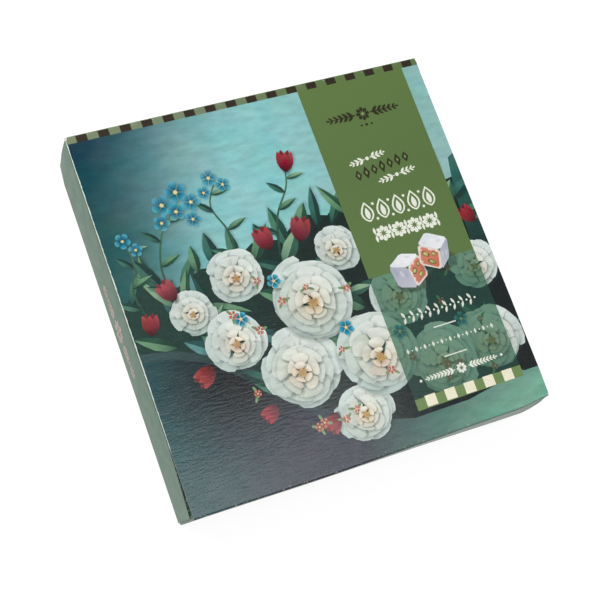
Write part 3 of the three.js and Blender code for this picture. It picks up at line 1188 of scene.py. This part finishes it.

# Painted shade: a dark line along each closure's upper fold, for the gap under the top panel,
# darkest near the front and fading to green towards the back.
upper_fold = CLOSURE_ROOT + QUARTER + CLOSURE_FLAT
for side in (-1, 1):
    ink_box(side * (upper_fold + 0.5), starts["bottom"], side * (upper_fold + 1.5), BLANK_END,
            shaded((0, starts["bottom"] + 20), (0, starts["bottom"] + 65),
                   ["#14251a", "#34604a"]))
print("with worn edges the sheet has", len(fields), "fields")

# %% [markdown]
# The sides below the picture stay green; those at the front and the back have a lighter line
# near their lower edge. The bottom, which lies on the table, has a plain cream panel in a
# thin frame.

# %% Sides and bottom
EDGE_LINE, LINE_WIDTH = "#b9c19a", 0.7
for s in (starts["back"] + 3, starts["bottom_fold"] - 4.2):
    ink_box(-LIP, s, LIP, s + LINE_WIDTH, plain(EDGE_LINE))
for half_x, half_s, code in ((72, 66, EDGE_LINE), (71.2, 65.2, GREEN), (69, 63, CREAM)):
    ink_box(-half_x, BOTTOM_MIDDLE - half_s, half_x, BOTTOM_MIDDLE + half_s, plain(code))
print("the whole print has", len(fields), "fields")

# %% [markdown]
# ## The printed board
#
# Cartons like this are folding boxboard, printed offset and coated with a satin varnish. The
# eye sees three things: sharp ink with the grain of the painting in it, a varnish that
# mirrors windows softly and ripples a little because the board below isn't perfectly even,
# and pale fibres where the ink has cracked on a crease. The shader reads the ink from the
# sheet's own colours, and adds the rest from noise in object coordinates, so that it stays
# in place on the board.

# %% Varnished print on folding boxboard
NOISE, MAP_RANGE, MAPPING = "ShaderNodeTexNoise", "ShaderNodeMapRange", "ShaderNodeMapping"
MATH, MIX, BUMP = "ShaderNodeMath", "ShaderNodeMix", "ShaderNodeBump"
TIMES, PLUS, COLOURS = {"operation": "MULTIPLY"}, {"operation": "ADD"}, {"data_type": "RGBA"}

board, tree, shader = new_material("varnished print on folding boxboard")
place = node(tree, "ShaderNodeTexCoord").outputs["Object"]
printed, art, bare, crease = (
    node(tree, "ShaderNodeAttribute", {"attribute_name": name}).outputs[output]
    for name, output in (("ink", "Color"), ("art", "Fac"), ("bare", "Fac"), ("crease", "Fac")))

# Brush strokes, about 3 mm wide and 14 mm long, that lean with the painter's hand
strokes = node(tree, MAPPING, Vector=place, Rotation=(0, 0, 0.6), Scale=(90, 250, 90))
stroke = node(tree, NOISE, Vector=strokes, Scale=1.0, Detail=5.0, Roughness=0.62)
tint_drift = node(tree, NOISE, Vector=place, Scale=60.0, Detail=3.0, Roughness=0.55)
strength_drift = node(tree, NOISE, Vector=place, Scale=45.0, Detail=3.0, Roughness=0.55)
drifts = {}
for name, source, span, swing, middle in (("Hue", tint_drift, 0.2, 0.012, 0.5),
                                          ("Saturation", strength_drift, 0.2, 0.14, 1.0),
                                          ("Value", stroke, 0.25, 0.17, 1.0)):
    swung = node(tree, MAP_RANGE, _0=source, _1=0.5 - span, _2=0.5 + span, _3=-swing, _4=swing)
    on_art = node(tree, MATH, TIMES, _0=swung, _1=art)
    drifts[name] = node(tree, MATH, PLUS, _0=on_art, _1=middle)
brushed = node(tree, "ShaderNodeHueSaturation", Color=printed, **drifts)

# Canvas grain, as fine as 0.6 mm; real canvas is finer and wouldn't show
grain = node(tree, NOISE, Vector=place, Scale=1600.0, Detail=2.0, Roughness=0.7)
fleck = node(tree, MAP_RANGE, _0=grain, _1=0.60, _2=0.72, _3=0.0, _4=0.09)
flecks = node(tree, MATH, TIMES, _0=fleck, _1=art)
flecked = node(tree, MIX, COLOURS, Factor=flecks, _6=brushed, _7=(*linear("#b8d0cc"), 1))

# Pale fibres, in cracks about 1 mm apart along the creases and wherever the board is bare
folded = node(tree, MAP_RANGE, _0=crease, _1=0.55, _2=1.0, _3=0.0, _4=1.0)
speckle = node(tree, NOISE, Vector=place, Scale=900.0, Detail=4.0, Roughness=0.7)
broken = node(tree, MAP_RANGE, _0=speckle, _1=0.58, _2=0.66, _3=0.0, _4=1.0)
cracks = node(tree, MATH, TIMES, _0=folded, _1=broken)
thin_cracks = node(tree, MATH, TIMES, _0=cracks, _1=0.55)
uncovered = node(tree, MATH, {"operation": "MAXIMUM"}, _0=thin_cracks, _1=bare)
pulp = node(tree, NOISE, Vector=place, Scale=2200.0, Detail=2.0, Roughness=0.55)
fibres = node(tree, MIX, COLOURS, Factor=pulp, _6=(*linear("#cfcabb"), 1),
              _7=(*linear("#efede4"), 1))
shown = node(tree, MATH, TIMES, _0=uncovered, _1=0.8)
worn = node(tree, MIX, COLOURS, Factor=shown, _6=flecked.outputs[2], _7=fibres.outputs[2])
tree.links.new(worn.outputs[2], shader.inputs["Base Color"])
print("the ink's colour passes", len(tree.nodes), "nodes")

# %% [markdown]
# The varnish is glossy over the picture and satin over the plain inks, so the sides look
# softer than the top. Three small reliefs break up its mirror image: the board's own ripple,
# the paint's relief, and the hairs of the brush.

# %% Varnish and relief
smear = node(tree, NOISE, Vector=place, Scale=140.0, Detail=3.0, Roughness=0.55)
gloss = node(tree, MAP_RANGE, _0=smear, _1=0.3, _2=0.7, _3=0.17, _4=0.24)
satin = node(tree, MAP_RANGE, _0=art, _1=0.0, _2=1.0, _3=0.19, _4=0.0)
varnish = node(tree, MATH, PLUS, _0=gloss, _1=satin)
dull = node(tree, MATH, TIMES, _0=uncovered, _1=0.5)
roughness = node(tree, MATH, PLUS, _0=varnish, _1=dull)
tree.links.new(roughness.outputs[0], shader.inputs["Roughness"])
shader.inputs["Specular IOR Level"].default_value = 0.4

# The ripple is 4 mm from crest to crest, and the hairs are 1 mm wide and 4 mm long
ripple = node(tree, NOISE, Vector=place, Scale=240.0, Detail=2.0, Roughness=0.55)
relief = node(tree, BUMP, Strength=0.12, Distance=0.00012, Height=ripple)
hairs = node(tree, MAPPING, Vector=place, Rotation=(0, 0, 0.34), Scale=(220, 800, 220))
hair = node(tree, NOISE, Vector=hairs, Scale=1.0, Detail=3.0, Roughness=0.6)
for source, strength, distance in ((stroke, 0.3, 0.00008), (hair, 0.9, 0.0001)):
    height = node(tree, MATH, TIMES, _0=source, _1=art)
    relief = node(tree, BUMP, Strength=strength, Distance=distance, Height=height,
                  Normal=relief)
tree.links.new(relief.outputs[0], shader.inputs["Normal"])
print("with its varnish the board has", len(tree.nodes), "nodes")

# %% [markdown]
# Now the design is complete and its finish is known, so the sheet can be cut and folded.

# %% Fold the carton
carton = build_sheet("printed_carton", board)

# %% [markdown]
# ## Ornament that repeats
#
# The checks in the two bands and the foil ornament on the sides are one small shape laid
# down again and again. On the real carton a plate or a foil die does that. Here a node tree
# does it: it sets copies of a motif along a line, turns and shrinks them step by step, and
# then lays every point of them on the bowed panel by casting a ray at it. A row that turns
# on the spot is a rosette, so one tree makes both.

# %% The tree that lays a row of motifs on a panel
VECTOR, FIRST_RAY, RAY_LENGTH = "ShaderNodeVectorMath", 0.02, 0.04  # metres off and through


def row_tree():
    """Sets copies of a motif in a row, each turned and shrunk, and lays them on a panel."""
    tree = bpy.data.node_groups.new("row of motifs laid on a panel", "GeometryNodeTree")
    for name, kind in (("Motif", "Geometry"), ("Count", "Int"), ("First", "Vector"),
                       ("Step", "Vector"), ("Turn", "Float"), ("Shrink", "Float"),
                       ("Fineness", "Int"), ("Toward", "Vector"), ("Panel", "Object"),
                       ("Film", "Material")):
        tree.interface.new_socket(name, in_out="INPUT", socket_type="NodeSocket" + kind)
    tree.interface.new_socket("Row", in_out="OUTPUT", socket_type="NodeSocketGeometry")
    given = node(tree, "NodeGroupInput").outputs
    toward, first = given["Toward"], given["First"]

    # The row: copies along a line, each turned about the panel's normal and scaled
    line = node(tree, "GeometryNodeMeshLine", {"mode": "OFFSET"}, Count=given["Count"],
                Start_Location=first, Offset=given["Step"])
    index = node(tree, "GeometryNodeInputIndex")
    angle = node(tree, MATH, TIMES, _0=index, _1=given["Turn"])
    size = node(tree, MATH, {"operation": "MULTIPLY_ADD"}, _0=index, _1=given["Shrink"], _2=1.0)
    turned = node(tree, "FunctionNodeAxisAngleToRotation", Axis=toward, Angle=angle)
    fine = node(tree, "GeometryNodeSubdivideMesh", Mesh=given["Motif"], Level=given["Fineness"])
    copies = node(tree, "GeometryNodeInstanceOnPoints", Points=line, Instance=fine,
                  Rotation=turned, Scale=size)
    real = node(tree, "GeometryNodeRealizeInstances", Geometry=copies)

    # Each point's foot in the plane of the row, and its height over that plane
    position = node(tree, "GeometryNodeInputPosition")
    away = node(tree, VECTOR, {"operation": "SUBTRACT"}, _0=first, _1=position)
    height = node(tree, VECTOR, {"operation": "DOT_PRODUCT"}, _0=away, _1=toward)
    drop = node(tree, VECTOR, {"operation": "SCALE"}, _0=toward, Scale=height.outputs["Value"])
    foot = node(tree, VECTOR, PLUS, _0=position, _1=drop)

    # A ray from outside finds the panel under the foot, and the height is kept over it
    back_off = node(tree, VECTOR, {"operation": "SCALE"}, _0=toward, Scale=FIRST_RAY)
    source = node(tree, VECTOR, {"operation": "SUBTRACT"}, _0=foot, _1=back_off)
    panel = node(tree, "GeometryNodeObjectInfo", Object=given["Panel"])
    ray = node(tree, "GeometryNodeRaycast", Target_Geometry=panel.outputs["Geometry"],
               Source_Position=source, Ray_Direction=toward, Ray_Length=RAY_LENGTH)
    laid = node(tree, VECTOR, {"operation": "SUBTRACT"}, _0=ray.outputs["Hit Position"],
                _1=drop)
    moved = node(tree, "GeometryNodeSetPosition", Geometry=real, Position=laid)
    filmed = node(tree, "GeometryNodeSetMaterial", Geometry=moved, Material=given["Film"])
    node(tree, "NodeGroupOutput", Row=filmed)
    return tree


ROW_TREE = row_tree()
print("row tree has", len(ROW_TREE.nodes), "nodes")

# %% [markdown]
# A motif is a thin film: its outline is given in millimetres in the panel's plane, and it
# stands a little proud of the board and reaches a little into it. The tree runs as a
# modifier, and only its finished mesh is kept.


# %% Lay a row
FILM, SUNK = 0.03, 0.02  # mm that a film stands proud of the board and reaches into it


def lay_row(outline, along, up, film, count, first, step=(0, 0, 0), turn=0.0, shrink=0.0,
            fineness=0):
    """Repeats a flat outline, given in mm, and lays it on the carton. Returns the mesh."""
    along, up = Vector(along), Vector(up)
    toward = -along.cross(up)
    flat = [(u * along + v * up) * MM for u, v in outline]
    size = len(flat)
    sides = [(i, (i + 1) % size, size + (i + 1) % size, size + i) for i in range(size)]
    mesh = bpy.data.meshes.new("motif")
    mesh.from_pydata([p - toward * lift * MM for lift in (-SUNK, FILM) for p in flat], [],
                     [list(range(size))[::-1], list(range(size, 2 * size)), *sides])
    motif = new_object("motif", mesh)
    modifier = motif.modifiers.new("row", "NODES")
    modifier.node_group = ROW_TREE
    inputs = {"Count": count, "First": Vector(first) * MM, "Step": Vector(step) * MM,
              "Turn": math.radians(turn), "Shrink": -shrink, "Fineness": fineness,
              "Toward": toward, "Panel": carton, "Film": film}
    for item in ROW_TREE.interface.items_tree:
        if item.in_out == "INPUT" and item.name in inputs:
            modifier[item.identifier] = inputs[item.name]
    evaluated = motif.evaluated_get(bpy.context.evaluated_depsgraph_get())
    row = bpy.data.meshes.new_from_object(evaluated)
    bpy.data.objects.remove(motif)
    return row


def join(name, meshes, material):
    """Joins several meshes into one piece."""
    points, faces = [], []
    for mesh in meshes:
        first = len(points)
        points += [vertex.co.copy() for vertex in mesh.vertices]
        faces += [[first + i for i in face.vertices] for face in mesh.polygons]
    joined = bpy.data.meshes.new(name)
    joined.from_pydata(points, [], faces)
    joined.materials.append(material)
    print(name, "has", len(faces), "faces from", len(meshes), "rows")
    return new_object(name, joined)


# %% Checks in the two bands
RIGHT, BACKWARD, UPWARD = (1, 0, 0), (0, 1, 0), (0, 0, 1)
CHECK_HALF_X, CHECK_HALF_Y = 2.85, 1.85  # mm, half of a brown check


def check_ink(name, code, light):
    """Offset ink of one colour under the same varnish, with faint mottling."""
    material, tree, shader = new_material(name)
    place = node(tree, "ShaderNodeTexCoord").outputs["Object"]
    mottle = node(tree, NOISE, Vector=place, Scale=700.0, Detail=4.0)
    colour = node(tree, MIX, COLOURS, Factor=mottle, _6=(*linear(code), 1),
                  _7=(*linear(light), 1))
    ripple = node(tree, NOISE, Vector=place, Scale=240.0)
    bump = node(tree, BUMP, Strength=0.2, Distance=0.00012, Height=ripple)
    tree.links.new(colour.outputs[2], shader.inputs["Base Color"])
    tree.links.new(bump.outputs[0], shader.inputs["Normal"])
    shader.inputs["Roughness"].default_value = 0.3
    return material


def check_band(name, film, grown, first, pitch, count, fineness):
    """A row of checks; grown says how much larger they are than a brown check."""
    half_x, half_y = CHECK_HALF_X * grown[0], CHECK_HALF_Y * grown[1]
    row = lay_row(box_points(-half_x, -half_y, half_x, half_y), RIGHT, BACKWARD, film, count,
                  (first[0] - WIDTH / 2, DEPTH / 2 - first[1], HEIGHT), (pitch, 0, 0),
                  fineness=fineness)
    return join(name, [row], film)


brown_ink = check_ink("dark brown offset ink", "#1d150a", "#3a2f1f")
cream_ink = check_ink("cream offset ink", "#faf4da", "#e9e5ca")
back_checks = check_band("checks_back_band", brown_ink, (1, 1), (8.55, 2.45), 11.58, 17, 4)
front_checks = check_band("checks_front_band", cream_ink, (1.06, 1.57), (135.9, 181.5), 11.4,
                          5, 1)

# %% [markdown]
# The ornament on each side is hot foil: a thin metal film that a heated die presses on. Rose
# gold foil looks pink where it mirrors something pale and almost brown where it mirrors
# something dark, and it is never quite smooth on board.

# %% Rose gold hot foil
foil, tree, shader = new_material("rose gold hot foil")
place = node(tree, "ShaderNodeTexCoord").outputs["Object"]
tarnish = node(tree, NOISE, Vector=place, Scale=300.0, Detail=4.0)
tint = node(tree, MIX, COLOURS, Factor=tarnish, _6=(*linear("#7f685b"), 1),
            _7=(*linear("#c2a697"), 1))
pressed = node(tree, NOISE, Vector=place, Scale=1400.0)
bump = node(tree, BUMP, Strength=0.35, Distance=0.00005, Height=pressed)
tree.links.new(tint.outputs[2], shader.inputs["Base Color"])
tree.links.new(bump.outputs[0], shader.inputs["Normal"])
shader.inputs["Metallic"].default_value = 1.0
shader.inputs["Roughness"].default_value = 0.34
print("the foil has", len(tree.nodes), "nodes")

# %% Foil ornaments on the sides
ORNAMENT_HEIGHT = 13.5  # mm over the table
LARGE, SMALL, APART = 6.6, 3.6, 21.6  # the rosettes' radii, and their distance
SPRAY_START, SPRAY_LENGTH, LEAF_STEP = 7.4, 10.6, 2.8


def foil_ornament(name, centre, along):
    """Three rosettes with leafy sprays between them, on one side of the carton."""
    along, centre = Vector(along), Vector((*centre, ORNAMENT_HEIGHT))
    rows = []

    def add(outline, count, offset, **also):
        rows.append(lay_row(outline, along, UPWARD, foil, count, centre + offset * along,
                            **also))

    def foil_rosette(offset, radius):
        add(petal((radius * 0.22, 0), 0, radius * 0.78, radius * 0.5, blunt=0.7, steps=4), 8,
            offset, turn=45)
        add(ring_points((0, 0), radius * 0.17, 8), 1, offset)

    foil_rosette(0, LARGE)
    for sign in (-1, 1):
        foil_rosette(sign * APART, SMALL)
        for lift in (-1, 1):
            angle = (90 - sign * 48) * lift
            add(petal((0, lift * 0.25), angle, 5.6, 2.1, belly=0.5, blunt=0.8, steps=4), 4,
                sign * SPRAY_START, step=sign * LEAF_STEP * along, shrink=0.12)
        line = [(0, -0.25), (SPRAY_LENGTH, -0.16), (SPRAY_LENGTH, 0.16), (0, 0.25)]
        if sign < 0:
            line = [(-u, v) for u, v in line][::-1]
        add(line, 1, sign * (SPRAY_START - 0.2))
    return join(name, rows, foil)


ornaments = [
    foil_ornament("foil_ornament_left", (-WIDTH / 2, 1.5), (0, -1, 0)),
    foil_ornament("foil_ornament_right", (WIDTH / 2, -1.5), (0, 1, 0)),
    foil_ornament("foil_ornament_front", (0, -DEPTH / 2), (1, 0, 0)),
    foil_ornament("foil_ornament_back", (0, DEPTH / 2), (-1, 0, 0)),
]

# %% [markdown]
# ## Floor and light
#
# The carton stands on a light table, a white sheet that glows from below, so it comes out
# nearly pure white and takes only a faint shadow. The studio's walls are white with a dimmer
# ceiling. Two softboxes light the carton: one overhead, whose soft mirror image is
# the sheen on the near left corner of the top, and a large one like a window, which the
# varnish mirrors away from the camera.

# %% Floor
FLOOR = 6.0  # half its side, in metres
UNDER = -0.05 * MM  # just under the carton, so that the two never share a plane
floor_mesh = bpy.data.meshes.new("floor")
floor_mesh.from_pydata([(a, b, UNDER) for a, b in box_points(-FLOOR, -FLOOR, FLOOR, FLOOR)],
                       [], [(0, 1, 2, 3)])
floor = new_object("floor", floor_mesh)
acrylic, tree, shader = new_material("lit white acrylic sheet")
shader.inputs["Base Color"].default_value = (0.2, 0.2, 0.2, 1)
shader.inputs["Roughness"].default_value = 0.9
shader.inputs["Specular IOR Level"].default_value = 0.0
shader.inputs["Emission Color"].default_value = (1, 1, 1, 1)
shader.inputs["Emission Strength"].default_value = 0.9
floor_mesh.materials.append(acrylic)
print("floor is", 2 * FLOOR, "m wide")

# %% Studio walls
world = bpy.data.worlds.new("studio")
world.use_nodes = True
tree = world.node_tree
studio = tree.nodes["Background"].inputs
studio["Color"].default_value = (1, 1, 1, 1)
upward = node(tree, "ShaderNodeSeparateXYZ",
              Vector=node(tree, "ShaderNodeTexCoord").outputs["Generated"]).outputs["Z"]
walls = node(tree, MAP_RANGE, _0=upward, _1=0.02, _2=0.3, _3=1.0, _4=0.28)
tree.links.new(walls.outputs[0], studio["Strength"])
bpy.context.scene.world = world
print("studio has", len(tree.nodes), "nodes")


# %% Softboxes
def softbox(name, place, aim, size, power):
    """A rectangular light at a place, turned to its aim. Sizes in metres, power in watts."""
    lamp = bpy.data.lights.new(name, "AREA")
    lamp.shape, lamp.energy = "RECTANGLE", power
    lamp.size, lamp.size_y = size
    holder = new_object(name, lamp)
    holder.location = place
    direction = Vector(aim) - Vector(place)
    holder.rotation_euler = direction.to_track_quat("-Z", "Y").to_euler()
    print(name, "stands", round(direction.length, 2), "m away")


softbox("overhead softbox", (0.1, -0.115, 0.655), (0.1, -0.115, 0), (0.32, 0.25), 1.0)
softbox("window softbox", (-0.75, 1.05, 1.5), (0, 0, 0), (1.3, 1.3), 25)

# %% [markdown]
# ## Finish
#
# Every piece rides on the carton's one body. The folded sheet and the films of ink and foil
# on it stand for the solid.

# %% Finish
for piece in [carton, back_checks, front_checks, *ornaments]:
    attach(piece, "root")
    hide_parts("carton")
